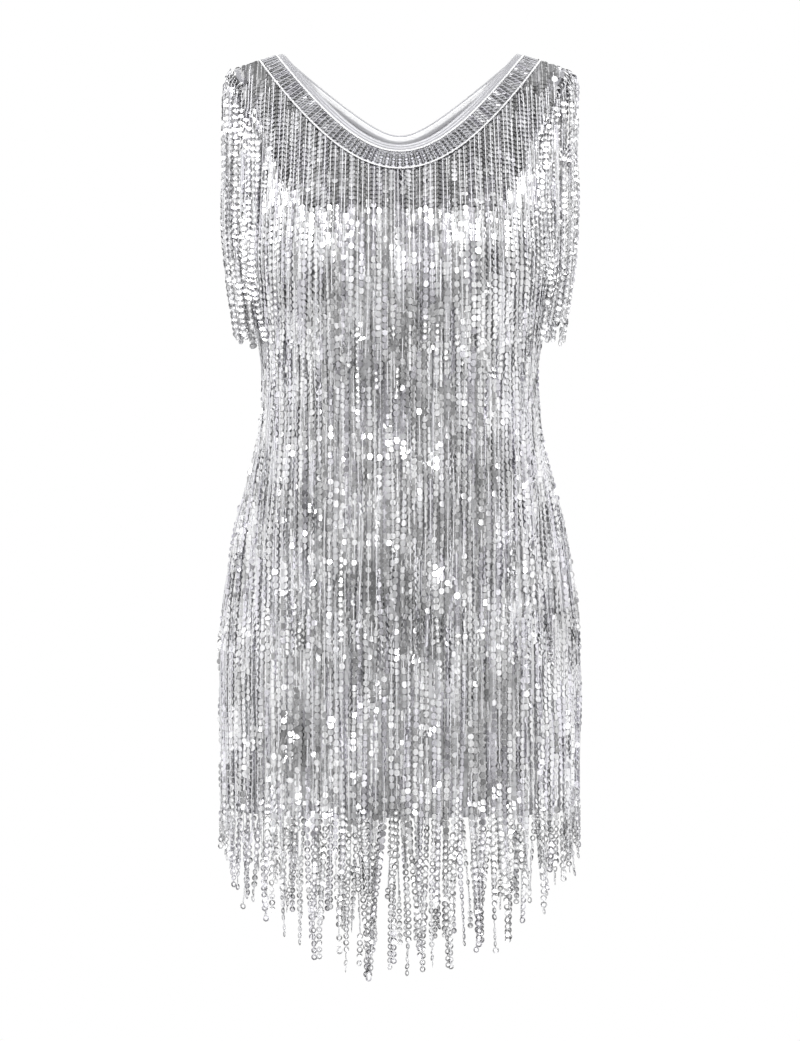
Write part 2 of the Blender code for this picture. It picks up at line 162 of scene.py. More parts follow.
# How the strings lie in places: x, z, half width and half height of the place, how far they face upward and
# turn to +X, in degrees, and the share of their own twist that they have lost.
LIES = {
    FRONT: (
        (-0.084, -0.168, 0.036, 0.014, 20, 0, 0.45),
        (0.080, -0.167, 0.036, 0.013, 20, 0, 0.45),
        (0.034, -0.157, 0.022, 0.005, 16, 0, 0.10),
        (-0.118, -0.122, 0.024, 0.044, 18, 8, 0.30),
        (0.118, -0.122, 0.024, 0.044, 18, -8, 0.30),
        (-0.050, -0.344, 0.024, 0.034, 2, 17, 0.60),
        (0.020, -0.410, 0.030, 0.040, 0, -16, 0.35),
        (0.045, -0.480, 0.020, 0.040, 0, -17, 0.60),
        (-0.082, -0.632, 0.022, 0.060, 0, 17, 0.70),
        (0.082, -0.632, 0.022, 0.060, 0, -17, 0.70),
        (0.012, -0.700, 0.060, 0.014, 2, 17, 0.45),
        (-0.030, -0.600, 0.020, 0.026, 14, 0, 0.35),
        (-0.146, -0.560, 0.020, 0.110, 8, -6, 0.35),
        (0.146, -0.600, 0.020, 0.110, 8, 6, 0.35),
    ),
    BACK: (
        (-0.070, -0.165, 0.045, 0.018, 20, 0, 0.70),
        (0.075, -0.170, 0.040, 0.020, 20, 0, 0.70),
        (0.020, -0.340, 0.030, 0.045, 0, 17, 0.60),
        (-0.060, -0.470, 0.030, 0.050, 15, -6, 0.35),
        (0.070, -0.560, 0.032, 0.060, 0, -17, 0.65),
        (-0.090, -0.650, 0.028, 0.050, 0, 17, 0.60),
    ),
}

# How far a loose string's sequins turn, in radians: the whole string, slowly down it, in runs, each alone,
# those that stand edge-on, and those that are flipped. On a tight string each turns a little.
TWIST = {
    "string": 0.24, "slow": 0.20, "runs": 0.34, "each": 0.10, "edge_on": 1.15, "flipped": 0.9, "tight": 0.022,
}

# How much painted shade the sequins' rims and wings get, standing in for the dark they mirror: on the body,
# with what patches and runs add, on the chest, in the fringe.
PAINTED_RIM_SHADE = {"body": 0.72, "patches": 0.40, "runs": 0.3, "chest": 0.5, "fringe": 0.56}

random = np.random.default_rng(11)


def clumps(body=34, hem=9):
    """Clumps of sequins that catch the light, over the body and along the hem, as rows of x, z and size."""
    x, z = random.uniform(-0.14, 0.14, body), random.uniform(-0.71, -0.22, body)
    on_body = np.stack((x, z, random.uniform(3, 6.5, body) * MM), -1)
    x, z = random.uniform(-0.13, 0.13, hem), random.normal(-0.698, 0.004, hem)
    return np.concatenate((on_body, np.stack((x, z, random.uniform(4, 9, hem) * MM), -1)))


CLUMPS = {half: clumps() for half in (FRONT, BACK)}


# The figure's surface, for arrays of places.


def unit(vectors):
    return vectors / np.maximum(np.linalg.norm(vectors, axis=-1, keepdims=True), 1e-12)


def lengths_along(points):
    """How far along a line each of its points lies."""
    return np.concatenate(((0.0,), np.cumsum(np.linalg.norm(np.diff(points, axis=0), axis=1))))


def between(first, last, first_slope, last_slope, t):
    """A smooth curve from a value with a slope to the next, at shares t of the way."""
    start = first * (1 + 2 * t) * (1 - t) ** 2 + first_slope * t * (1 - t) ** 2
    return start + last * t * t * (3 - 2 * t) - last_slope * t * t * (1 - t)


def column(name, drop):
    """Values of one of the figure's columns at drops."""
    across = np.sqrt(FIGURE[:, 0])
    values = FIGURE[:, FIGURE_COLUMNS.index(name)]
    slopes = np.gradient(values, across)
    x = np.sqrt(np.clip(drop, 0.0, HEM_DROP))
    i = np.clip(np.searchsorted(across, x) - 1, 0, len(across) - 2)
    width = across[i + 1] - across[i]
    t = (x - across[i]) / width
    return between(values[i], values[i + 1], slopes[i] * width, slopes[i + 1] * width, t)


def shoulder_height(x):
    return NECK_POINT_HEIGHT - SHOULDER_SLOPE * (np.abs(x) - NECK_HALF_WIDTH)


def drop_at(x, z):
    top = shoulder_height(x)
    sloped = (top - z) / (1 + top / LEVELS_FLAT_BY)
    return np.where(sloped < LEVELS_FLAT_BY, np.maximum(sloped, 0.0), -np.asarray(z))


def angle_at(x, drop):
    share = np.minimum(np.abs(x) / column("half_width", drop), 1.0)
    return np.copysign(np.arcsin(share ** (SQUARENESS / 2)), x)


def surface(angle, drop, half):
    """Points of the dress's outer face."""
    angle, drop = np.broadcast_arrays(np.asarray(angle, float), np.asarray(drop, float))
    power = 2 / SQUARENESS
    x = np.copysign(column("half_width", drop) * np.abs(np.sin(angle)) ** power, angle)
    depth = column("front_depth" if half == FRONT else "back_depth", drop)
    if half == FRONT:
        across = (np.abs(x) - CUP["x"]) / CUP["half_width"]
        down = (drop - CUP["drop"]) / CUP["half_height"]
        depth = depth + CUP["rise"] * np.exp(-across * across - down * down)
    y = half * depth * np.maximum(np.cos(angle), 0.0) ** power
    z = -drop + shoulder_height(x) * np.maximum(0.0, 1 - drop / LEVELS_FLAT_BY)
    return np.stack((x, y, z), -1)


def outward(angle, drop, half, turn=0.004, fall=0.003):
    """Unit normals of the outer face, from places a small turn and fall away."""
    angle, drop = np.broadcast_arrays(np.asarray(angle, float), np.asarray(drop, float))
    root = np.maximum(np.sqrt(drop), turn)
    inside = np.clip(angle, -QUARTER + 2 * turn, QUARTER - 2 * turn)
    along = surface(inside + turn, root**2, half) - surface(inside - turn, root**2, half)
    down = surface(inside, (root + fall) ** 2, half) - surface(inside, (root - fall) ** 2, half)
    normal = np.cross(along, down) * half
    normal[..., 1] = np.where(np.abs(angle) > QUARTER - 2 * turn, 0.0, normal[..., 1])
    return unit(normal)


def on_figure(x, z, half, out=0.0):
    drop = drop_at(x, z)
    angle = angle_at(x, drop)
    return surface(angle, drop, half) + outward(angle, drop, half) * np.asarray(out)[..., None]


def neck_height(x, half):
    share, bend = np.minimum(np.abs(x) / NECK_HALF_WIDTH, 1.0), NECK_ROUND[half]
    rise = (np.hypot(share, bend) - bend) / (math.hypot(1.0, bend) - bend)
    return NECK_BOTTOM[half] + (NECK_POINT_HEIGHT - NECK_BOTTOM[half]) * rise


def neck_place(x, width, half, step=1e-4):
    """(x, z) of the places that lie the given width outside the neckline at x. They turn from square to the
    neckline to along the shoulder seam at its points."""
    x = np.asarray(x, float)
    slope = (neck_height(np.abs(x) + step, half) - neck_height(np.abs(x) - step, half)) / (2 * step)
    square = unit(np.stack((slope, -np.ones_like(slope)), -1))
    seam = unit(np.array((1.0, -SHOULDER_SLOPE)))
    share = (np.abs(x) / NECK_HALF_WIDTH)[..., None] ** 6
    away = unit(square * (1 - share) + seam * share) * np.asarray(width)[..., None]
    return np.copysign(np.abs(x) + away[..., 0], x), neck_height(x, half) + away[..., 1]


def armhole_place(turn, half):
    """(angle, drop) on the armhole's edge, from the underarm at 0 to the shoulder's tip at a half turn."""
    drop = UNDERARM_DROP * (1 + np.cos(turn)) / 2
    tip_share = SHOULDER_TIP_X / FIGURE[0, 1]
    share = 1 - (1 - tip_share) * (1 - np.cos(turn)) / 2 - ARMHOLE_CUT_IN[half] * np.sin(turn) ** 2
    return np.arcsin(np.minimum(share, 1.0) ** (SQUARENESS / 2)), drop


def armhole_angle(drop, half):
    """Angle of the armhole's edge at drops down to the underarm."""
    return armhole_place(np.arccos(np.clip(2 * drop / UNDERARM_DROP - 1, -1, 1)), half)[0]


def armhole_station(turn, half, step=0.02):
    """(point, away, out) on the armhole's edge on the +X side."""
    angle, drop = armhole_place(turn, half)
    before = surface(*armhole_place(max(turn - step, 0.0), half), half)
    after = surface(*armhole_place(min(turn + step, math.pi), half), half)
    out = outward(angle, drop, half)
    if drop < 1e-6:
        out[1] = 0.0
        out = unit(out)
    away = unit(np.cross(after - before, out)) * half
    return surface(angle, drop, half), away, out


def fold_depth(x, z, half):
    """How deep the cloth's troughs are at places."""
    x, z = np.broadcast_arrays(np.asarray(x, float), np.asarray(z, float))
    depth = np.zeros(x.shape)
    for x_top, z_top, x_bottom, z_bottom, half_width, deepest in FOLDS[half]:
        run = np.array((x_bottom - x_top, z_bottom - z_top))
        length = np.linalg.norm(run)
        run /= length
        along = (x - x_top) * run[0] + (z - z_top) * run[1]
        off = (x - x_top) * run[1] - (z - z_top) * run[0]
        past = np.maximum(np.maximum(-along, along - length), 0.0)
        depth += deepest * np.exp(-((off / half_width) ** 2) - (past / (2 * half_width)) ** 2)
    return depth


# Materials.


def material(name, colour, roughness, metallic, **more):
    """(material, its tree). More values of its shader go by their names."""
    made = bpy.data.materials.new(name)
    made.use_nodes = True
    values = {"Base Color": (*colour, 1.0), "Roughness": roughness, "Metallic": metallic}
    values.update({key.replace("_", " ").title(): value for key, value in more.items()})
    for socket, value in values.items():
        made.node_tree.nodes["Principled BSDF"].inputs[socket].default_value = value
    return made, made.node_tree


def node(tree, kind, sockets, **settings):
    """A node with its settings. Its sockets take numbers, colours or the sockets of other nodes."""
    made = tree.nodes.new(f"ShaderNode{kind}")
    for name, value in settings.items():
        setattr(made, name, value)
    for socket, value in sockets.items():
        if isinstance(value, bpy.types.NodeSocket):
            tree.links.new(value, made.inputs[socket])
        else:
            made.inputs[socket].default_value = value
    return made


def feed(tree, socket, value):
    """Links a value to a socket of the tree's shader."""
    tree.links.new(value, tree.nodes["Principled BSDF"].inputs[socket])


def attribute(tree, name):
    return node(tree, "Attribute", {}, attribute_name=name).outputs["Fac"]


def place(tree, kind="Object"):
    return node(tree, "TexCoord", {}).outputs[kind]


def spread(tree, value, low, high, start=0.0, end=1.0):
    """The value, with start to end mapped to low to high."""
    sockets = {"Value": value, "From Min": start, "From Max": end, "To Min": low, "To Max": high}
    return node(tree, "MapRange", sockets).outputs["Result"]


def calculate(tree, operation, first, second=0.0):
    return node(tree, "Math", {0: first, 1: second}, operation=operation).outputs["Value"]


def times(tree, first, second):
    return calculate(tree, "MULTIPLY", first, second)


def plus(tree, first, second):
    return calculate(tree, "ADD", first, second)


def ripple(tree, value, length):
    """A wave of the given length along the value, from -1 to 1."""
    return calculate(tree, "SINE", times(tree, value, 2 * math.pi / length))


def blend(tree, share, first, second):
    """A colour between two colours or colour sockets."""
    first, second = ((*colour, 1.0) if isinstance(colour, tuple) else colour for colour in (first, second))
    return node(tree, "Mix", {"Factor": share, "A": first, "B": second}, data_type="RGBA").outputs["Result"]


def noise(tree, scale, detail=2.0):
    return node(tree, "TexNoise", {"Scale": scale, "Detail": detail, "Vector": place(tree)}).outputs["Fac"]


def bump(tree, height, strength, distance):
    sockets = {"Strength": strength, "Distance": distance, "Height": height}
    feed(tree, "Normal", node(tree, "Bump", sockets).outputs["Normal"])


def darker(colour, share):
    return tuple(c * share for c in colour)


def sequin_material(name, colour, roughness):
    """Silvered film. Each sequin has its own tone, which is partly random and partly painted light and shade.
    Its rims get painted shade that stands in for the dark they mirror, and fine haze varies the gloss.
    """
    made, tree = material(name, colour, roughness, 1.0)
    own = blend(tree, spread(tree, attribute(tree, "tone"), 0.0, 1.0), darker(colour, 0.35), colour)
    rim = spread(tree, attribute(tree, "rim"), 0.0, 0.8, start=0.25)
    feed(tree, "Base Color", blend(tree, rim, own, darker(colour, 0.30)))
    feed(tree, "Roughness", spread(tree, noise(tree, 260.0), roughness - 0.07, roughness + 0.09))
    bump(tree, noise(tree, 420.0, 0.0), 0.35, 0.12 * MM)
    return made


def thread_material(name, colour, ply):
    """Twisted thread: the plies show as fine slanting ridges."""
    made, tree = material(name, colour, 0.55, 0.0, sheen_weight=0.3)
    sockets = {"Scale": ply, "Distortion": 1.5, "Vector": place(tree)}
    plies = node(tree, "TexWave", sockets, bands_direction="DIAGONAL").outputs["Fac"]
    feed(tree, "Base Color", blend(tree, plies, darker(colour, 0.80), colour))
    bump(tree, plies, 0.5, 0.15 * MM)
    return made


def cloth_material(colour=(0.40, 0.40, 0.425), worn_colour=(0.74, 0.74, 0.76), row=5.0 * MM, mesh=1.1 * MM):
    """Stretch net with the backs of the sewn rows: ridges down the cloth every few millimetres, a fine net
    between them, and patches where the silver coat has worn dull."""
    made, tree = material("base_cloth", colour, 0.42, 0.3)
    girth = attribute(tree, "girth")
    ridges = spread(tree, ripple(tree, girth, row), 0.0, 1.0, start=-1.0)
    net = times(tree, ripple(tree, girth, mesh), ripple(tree, attribute(tree, "down"), mesh))
    shade = times(tree, ridges, spread(tree, net, 0.7, 1.0, start=-1.0))
    worn = spread(tree, noise(tree, 26.0, 4.0), 0.6, 1.1, start=0.3, end=0.7)
    feed(tree, "Base Color", blend(tree, times(tree, shade, worn), darker(colour, 0.6), worn_colour))
    feed(tree, "Roughness", spread(tree, noise(tree, 90.0), 0.32, 0.55))
    bump(tree, plus(tree, ridges, times(tree, net, 0.25)), 0.6, 0.5 * MM)
    return made


def binding_material(name, colour, inside, shadow_band, metallic, through, turned=(1.0, 1.0)):
    """Folded knit that lets a share of the light through. It has fine ribs along the band, with stitches in
    their grooves and faint soiling. The stretch turned inside, between two places across it, is smoother, and
    its colour is painted paler than the outside, painted light. From there on a band of grey stands for the
    shadow inside, painted shade. All of it is darker towards the shoulders, painted shade."""
    made, tree = material(name, colour, 0.6, metallic, sheen_weight=0.25, subsurface_weight=through,
                          subsurface_radius=(1.0, 1.0, 1.0), subsurface_scale=3 * MM)
    across = attribute(tree, "across")
    rib, knit = ripple(tree, across, 2.4 * MM), ripple(tree, attribute(tree, "along"), 1.3 * MM)
    groove = spread(tree, rib, 1.0, 0.0, start=-0.9, end=-0.1)
    stitch = times(tree, groove, spread(tree, knit, 0.7, 1.0, start=-1.0))
    worn = spread(tree, noise(tree, 60.0, 3.0), 0.0, 0.12)
    dark = plus(tree, times(tree, stitch, 0.9), worn)
    outside = blend(tree, dark, colour, darker(colour, 0.30))
    begun, shadow_band_share = (spread(tree, across, 0.0, 1.0, start=at - 0.4 * MM, end=at + 0.4 * MM) for at in turned)
    # Painted light: the inside's colour is paler than the outside's.
    pale = blend(tree, times(tree, stitch, 0.35), inside, colour)
    # Painted shade: past the second place, the grey of the shadow band.
    pale = blend(tree, shadow_band_share, pale, shadow_band)
    x = node(tree, "SeparateXYZ", {"Vector": place(tree)}).outputs["X"]
    from_middle = calculate(tree, "ABSOLUTE", x)
    # Painted shade: the inside darker towards the shoulders.
    pale = blend(tree, spread(tree, from_middle, 0.0, 1.0, start=0.076, end=0.094), pale, darker(colour, 0.6))
    # Painted shade: the outside darker towards the shoulders.
    shoulder_shade_share = spread(tree, from_middle, 0.0, 1.0, start=0.05, end=0.1)
    greyer = blend(tree, shoulder_shade_share, outside, darker(colour, 0.6))
    feed(tree, "Base Color", blend(tree, begun, greyer, pale))
    ribbed = times(tree, rib, calculate(tree, "SUBTRACT", 1.0, begun))
    bump(tree, plus(tree, ribbed, times(tree, knit, 0.2)), 0.5, 0.25 * MM)
    return made


SEQUIN_LOOKS = [
    sequin_material("silver_sequin", (0.94, 0.94, 0.95), 0.20),
    sequin_material("silver_sequin_hazed", (0.88, 0.88, 0.90), 0.32),
    sequin_material("silver_sequin_cool", (0.84, 0.83, 0.88), 0.24),
    sequin_material("silver_sequin_scuffed", (0.95, 0.95, 0.95), 0.62),
]
SCUFFED = 3  # the look of a cupped sequin's middle, where its thread rubs
LOOK_STEPS = (0.15, 0.84)  # where unit noise passes from one look to the next
THREAD_LOOK = thread_material("pale_thread", (0.64, 0.64, 0.66), 400.0)
CHAIN_LOOK = thread_material("chain_thread", (0.70, 0.70, 0.71), 300.0)
BAND_THREAD_LOOK = thread_material("band_thread", (0.36, 0.36, 0.38), 400.0)
CLOTH_LOOK = cloth_material()
# The inside's paler colour is painted light, and the shadow band's grey is painted shade.
BINDING_LOOK = binding_material(
    "binding_cloth", (0.38, 0.38, 0.40), inside=(0.80, 0.80, 0.81), shadow_band=(0.46, 0.46, 0.48), metallic=0.0,
    through=0.3, turned=(12.3 * MM, 16.4 * MM))
# The grey of this binding is partly its own colour and partly painted shade, standing in for the shadow along
# the armhole's fold.
EDGE_LOOK = binding_material(
    "armhole_cloth", (0.42, 0.42, 0.45), inside=(0.5, 0.5, 0.52), shadow_band=(0.5, 0.5, 0.52), metallic=0.5,
    through=0.0)


# Meshes.


def mesh_object(name, points, faces_by_size, looks, slots=None, attributes=(), smooth=False):
    """An object from points and from arrays with a face a row. The attributes are (name, domain, values)."""
    mesh = bpy.data.meshes.new(name)
    points = np.asarray(points, np.float32).reshape(-1, 3)
    mesh.vertices.add(len(points))
    mesh.vertices.foreach_set("co", points.ravel())
    faces_by_size = [np.asarray(faces, np.int32) for faces in faces_by_size if len(faces)]
    sizes = np.concatenate([np.full(len(faces), faces.shape[1]) for faces in faces_by_size])
    mesh.loops.add(int(sizes.sum()))
    mesh.loops.foreach_set("vertex_index", np.concatenate([faces.ravel() for faces in faces_by_size]))
    mesh.polygons.add(len(sizes))
    mesh.polygons.foreach_set("loop_start", (np.cumsum(sizes) - sizes).astype(np.int32))
    mesh.polygons.foreach_set("use_smooth", np.full(len(sizes), smooth))
    if slots is not None:
        mesh.polygons.foreach_set("material_index", np.asarray(slots, np.int32))
    for attribute_name, domain, values in attributes:
        made = mesh.attributes.new(attribute_name, "FLOAT", domain)
        made.data.foreach_set("value", np.asarray(values, np.float32).ravel())
    mesh.update(calc_edges=True)
    mesh.validate()
    for look in looks:
        mesh.materials.append(look)
    obj = bpy.data.objects.new(name, mesh)
    bpy.context.scene.collection.objects.link(obj)
    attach(obj, "root")
    return obj


def slotted(obj, slot, *nodes):
    """Hides the nodes that the object stands for. The object and the slot are not used."""
    if nodes:
        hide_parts(*nodes)


def grid_faces(high, wide, closed=False):
    """Quads between the points of a grid, row by row."""
    r, c = np.mgrid[0 : high if closed else high - 1, 0 : wide - 1]
    r, c = r.ravel(), c.ravel()
    up = (r + 1) % high
    return np.stack((r * wide + c, r * wide + c + 1, up * wide + c + 1, up * wide + c), -1)


def thicken(obj, offset):
    thick = obj.modifiers.new("Cloth", "SOLIDIFY")
    thick.thickness, thick.offset = CLOTH_THICKNESS, offset


def tubes(name, paths, radius, sides, look):
    """Round tubes along the paths, as one object."""
    points, faces, first = [], [], 0
    k = np.arange(sides)
    turn = k * 2 * math.pi / sides
    quad = np.stack((k, (k + 1) % sides, (k + 1) % sides + sides, k + sides), -1)
    for path in paths:
        along = unit(np.gradient(path, axis=0))
        steady = np.array((0.31, 0.17, 0.93)) if abs(along[0, 2]) < 0.9 else np.array((1.0, 0.2, 0.0))
        side = unit(np.cross(along, steady))
        up = np.cross(side, along)
        ring = side[:, None] * np.cos(turn)[:, None] + up[:, None] * np.sin(turn)[:, None]
        points.append((path[:, None] + ring * radius).reshape(-1, 3))
        rows = first + np.arange(len(path) - 1)[:, None, None] * sides
        faces.append((rows + quad[None]).reshape(-1, 4))
        first += len(path) * sides
    return mesh_object(name, np.concatenate(points), (np.concatenate(faces),), (look,), smooth=True)


def rotated(first, second, angle):
    """Vectors turned by an angle from the first towards the second."""
    return first * np.cos(angle)[:, None] + second * np.sin(angle)[:, None]


class Strings:
    """Collects sequins and threads from many strings, to make one object of each."""

    def __init__(self):
        self.strings = []
        self.threads = []

    def add(self, path, out, twist, tilt, cupped, tone, look, edge=0.6, under=False):
        """A string of sequins at the path's points. The twist turns each sequin about the string and the tilt
        about its own width. edge is how much painted shade its rims get. The thread passes over it, or under
        it."""
        count = len(path)
        along = unit(np.gradient(path, axis=0))
        level = unit(out - along * np.sum(out * along, -1, keepdims=True))
        lift = np.where(np.broadcast_to(under, count), -THREAD_LIFT, THREAD_LIFT)
        self.threads.append(path + level * lift[:, None])
        along = unit(along - out * np.sum(out * along, -1, keepdims=True))
        out = rotated(out, np.cross(out, along), twist)
        self.strings.append({
            "centre": path, "along": rotated(along, -out, tilt), "out": rotated(out, along, tilt),
            "radius": SEQUIN_RADIUS * random.uniform(0.95, 1.04, count), "tone": tone, "look": look,
            "cupped": np.broadcast_to(cupped, count), "edge": np.broadcast_to(edge, count)})

    def sequins(self, name):
        every = {key: np.concatenate([string[key] for string in self.strings]) for key in self.strings[0]}
        chosen = every.pop("cupped")
        shingled = {key: values[~chosen] for key, values in every.items()}
        cups = {key: values[chosen] for key, values in every.items()}
        flat_points, flat_quads, flat_rim_shade = shingled_sequins(shingled)
        cup_points, middles, cup_quads, cup_rim_shade = cupped_sequins(cups)
        first = len(flat_points)
        # Painted shade on the bevel: the facets' tone is set below the string's, with random tone for each
        # sequin and facet, and the middles keep full tone.
        own = cups["tone"] * 0.8 - 0.3 + random.normal(0, 0.2, len(middles))
        facets = np.repeat(own, CUP_SIDES) + random.normal(0, 0.05, len(cup_quads))
        tone = np.concatenate((np.ones(len(middles)), np.repeat(shingled["tone"], 3), facets))
        quad_looks = np.repeat(shingled["look"], 3), np.repeat(cups["look"], CUP_SIDES)
        return mesh_object(
            name, np.concatenate((flat_points, cup_points)),
            (middles + first, np.concatenate((flat_quads, cup_quads + first))), SEQUIN_LOOKS,
            np.concatenate((np.full(len(middles), SCUFFED), *quad_looks)),
            (("tone", "FACE", np.clip(tone, 0, 1)), ("rim", "POINT", np.concatenate((flat_rim_shade, cup_rim_shade)))))

    def make(self, sequins, threads, slot, *nodes, look=THREAD_LOOK):
        """Both objects, by name. The sequins stand for the nodes, and no threads are made without a name."""
        slotted(self.sequins(sequins), slot, *nodes)
        if threads:
            slotted(tubes(threads, self.threads, THREAD_RADIUS, 3, look), slot)


def corners(sequin, x, y, z):
    """Points of each sequin, given in shares of its radius across it, along its string and out of it."""
    across = np.cross(sequin["out"], sequin["along"])
    sides = ((across, x), (sequin["along"], y), (sequin["out"], z))
    shape = sum(side[:, None] * share[..., None] for side, share in sides)
    return sequin["centre"][:, None] + sequin["radius"][:, None, None] * shape


def shingled_sequins(sequin):
    """Octagons bent along two lines: a flat middle lane under the thread and a wing on each side of it."""
    turn = (np.arange(8) + 0.5) * math.pi / 4
    across = np.cos(turn)
    wing = np.maximum(np.abs(across) - LANE_SHARE, 0.0)
    x = np.copysign(np.minimum(np.abs(across), LANE_SHARE) + wing * math.cos(WING_ANGLE), across)
    points = corners(sequin, x, np.sin(turn), -wing * math.sin(WING_ANGLE))
    lanes = np.array(((1, 2, 5, 6), (0, 1, 6, 7), (2, 3, 4, 5)))
    quads = (np.arange(len(points))[:, None, None] * 8 + lanes).reshape(-1, 4)
    # The last array is each point's painted rim shade, on the wings only.
    return points.reshape(-1, 3), quads, (sequin["edge"][:, None] * (wing > 0)).ravel()


def cupped_sequins(sequin):
    """Octagonal cups: a flat middle and eight facets that rise to the rim."""
    count = len(sequin["centre"])
    k = np.arange(CUP_SIDES)
    turn = random.uniform(0, 2 * math.pi, count)[:, None] + k * 2 * math.pi / CUP_SIDES
    rim = np.stack((np.cos(turn), np.sin(turn)))
    x, y = np.concatenate((rim * CUP_SHARE, rim), -1)
    z = np.repeat((0.0, (1 - CUP_SHARE) * math.tan(CUP_ANGLE)), CUP_SIDES)
    points = corners(sequin, x, y, z)
    first = np.arange(count)[:, None] * 2 * CUP_SIDES
    following = (k + 1) % CUP_SIDES
    ring = np.stack((k, k + CUP_SIDES, following + CUP_SIDES, following), -1)
    facets = (first[:, :, None] + ring[None]).reshape(-1, 4)
    # Painted rim shade on the rim's points, none in the middle.
    dark = sequin["edge"][:, None] * np.repeat((0.0, 1.0), CUP_SIDES)
    return points.reshape(-1, 3), (first + k)[:, ::-1], facets, dark.ravel()


# How strings hang.


def even_spaced(points, pitches):
    """(points along a polyline, their places in it), the pitches apart."""
    along = lengths_along(points)
    wanted = np.cumsum(pitches)
    places = np.interp(wanted[wanted < along[-1]], along, np.arange(len(points)))
    return at_places(points, places), places


def at_places(rows, places):
    """Rows at places between the given ones."""
    return np.stack([np.interp(places, np.arange(len(rows)), rows[:, k]) for k in range(3)], -1)


def pitches(loose_from, count=240):
    """Steps down a string: close ones, and past the given length loose ones."""
    steps = np.full(count, CLOSE_PITCH)
    steps[0] = random.uniform(0, 1) * CLOSE_PITCH
    steps[np.cumsum(steps) > loose_from] = LOOSE_PITCH
    return steps


def drift(count, wave):
    """Smooth noise of about unit size along a string of that many sequins."""
    at = np.arange(count) * CLOSE_PITCH
    total = np.zeros(count)
    for _ in range(3):
        total += np.sin(at * 2 * math.pi / (wave * random.uniform(0.6, 1.7)) + random.uniform(0, 2 * math.pi))
    return total / 1.7


def by_runs(count, shortest, longest):
    """Noise that stays the same for a run of sequins, then jumps."""
    ends = np.cumsum(random.integers(shortest, longest + 1, count))
    return random.normal(0, 1, count)[np.searchsorted(ends, np.arange(count), side="right")]


def turns(count, loose):
    """Twist along a string. A loose string turns in runs, and a tight one faces outward all the way."""
    twist = random.normal(0, TWIST["string"]) * loose + TWIST["slow"] * loose * drift(count, 0.06)
    in_runs = TWIST["runs"] * loose * by_runs(count, 1, 7)
    twist += in_runs + random.normal(0, 1, count) * (TWIST["tight"] + TWIST["each"] * loose)
    edge_on = by_runs(count, 3, 12) > 2.4 - 1.5 * loose
    twist = twist + edge_on * TWIST["edge_on"] * random.choice((-1, 1))
    flipped = random.random(count) < 0.045 * loose
    return twist + flipped * random.normal(0, TWIST["flipped"], count)


def tones(count, middle, own=0.13):
    """Brightness of the sequins of one string, alike within runs."""
    tone = middle + random.normal(0, own) + own * by_runs(count, 1, 6) + random.normal(0, 0.06, count)
    return np.clip(tone, 0.0, 1.0)


def looks(count):
    return np.searchsorted(LOOK_STEPS, by_runs(count, 2, 14))


def girth_angles(count, drop, half, limit=math.radians(89.3)):
    """Angles that part the girth at a drop into about equal stretches."""
    fine = np.linspace(-limit, limit, 5000)
    along = lengths_along(surface(fine, drop, half))
    places = np.arange(count) + 0.5 + random.uniform(-0.22, 0.22, count)
    return np.interp(places / count * along[-1], along, fine)


def line_on_figure(angle, heights, sewn_at):
    """(x, angle, drop) down the dress. A string hangs straight down from the drop that it is sewn at, except
    far to the side, where it follows the figure in and out. Above the bust it leans in to the neck."""
    to_side = abs(math.sin(angle)) ** 6
    follows = column("half_width", np.where(heights > -BUST_DROP, BUST_DROP, -heights))
    sewn = column("half_width", max(sewn_at, BUST_DROP))
    x = (sewn + (follows - sewn) * to_side) * abs(math.sin(angle)) ** (2 / SQUARENESS)
    x = np.copysign(x * (1 - LEAN_IN * np.maximum(heights + BUST_DROP, 0.0) * (1 - to_side)), angle)
    drops = np.where(heights > -BUST_DROP, drop_at(x, heights), -heights)
    return x, angle_at(x, drops), drops


